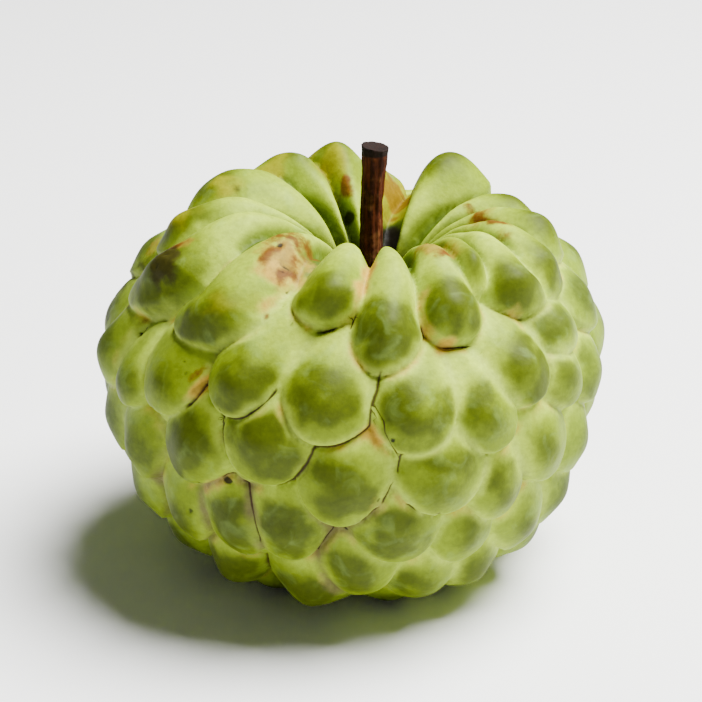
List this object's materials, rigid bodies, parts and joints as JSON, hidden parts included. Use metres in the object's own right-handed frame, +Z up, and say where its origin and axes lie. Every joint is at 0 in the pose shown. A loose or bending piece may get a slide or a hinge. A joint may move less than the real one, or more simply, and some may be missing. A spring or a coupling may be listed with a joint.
{
  "type": "custard apple",
  "caption": "Whole custard apple: a squat rounded fruit covered in overlapping knobbly carpels, with a woody stem stub standing in a deep cavity at the top.",
  "frame": {"origin": "middle of the flat spot under the fruit that it rests on", "axes": "+Z up along the fruit's core, -Y towards the side seen in front, +X to its right"},
  "size_m": [0.0932, 0.0937, 0.0809],
  "materials": {
    "skin": "satin",
    "stem_wood": "matte"
  },
  "bodies": {
    "root": {"fruit": "skin", "stem": "stem_wood"}
  },
  "joints": []
}
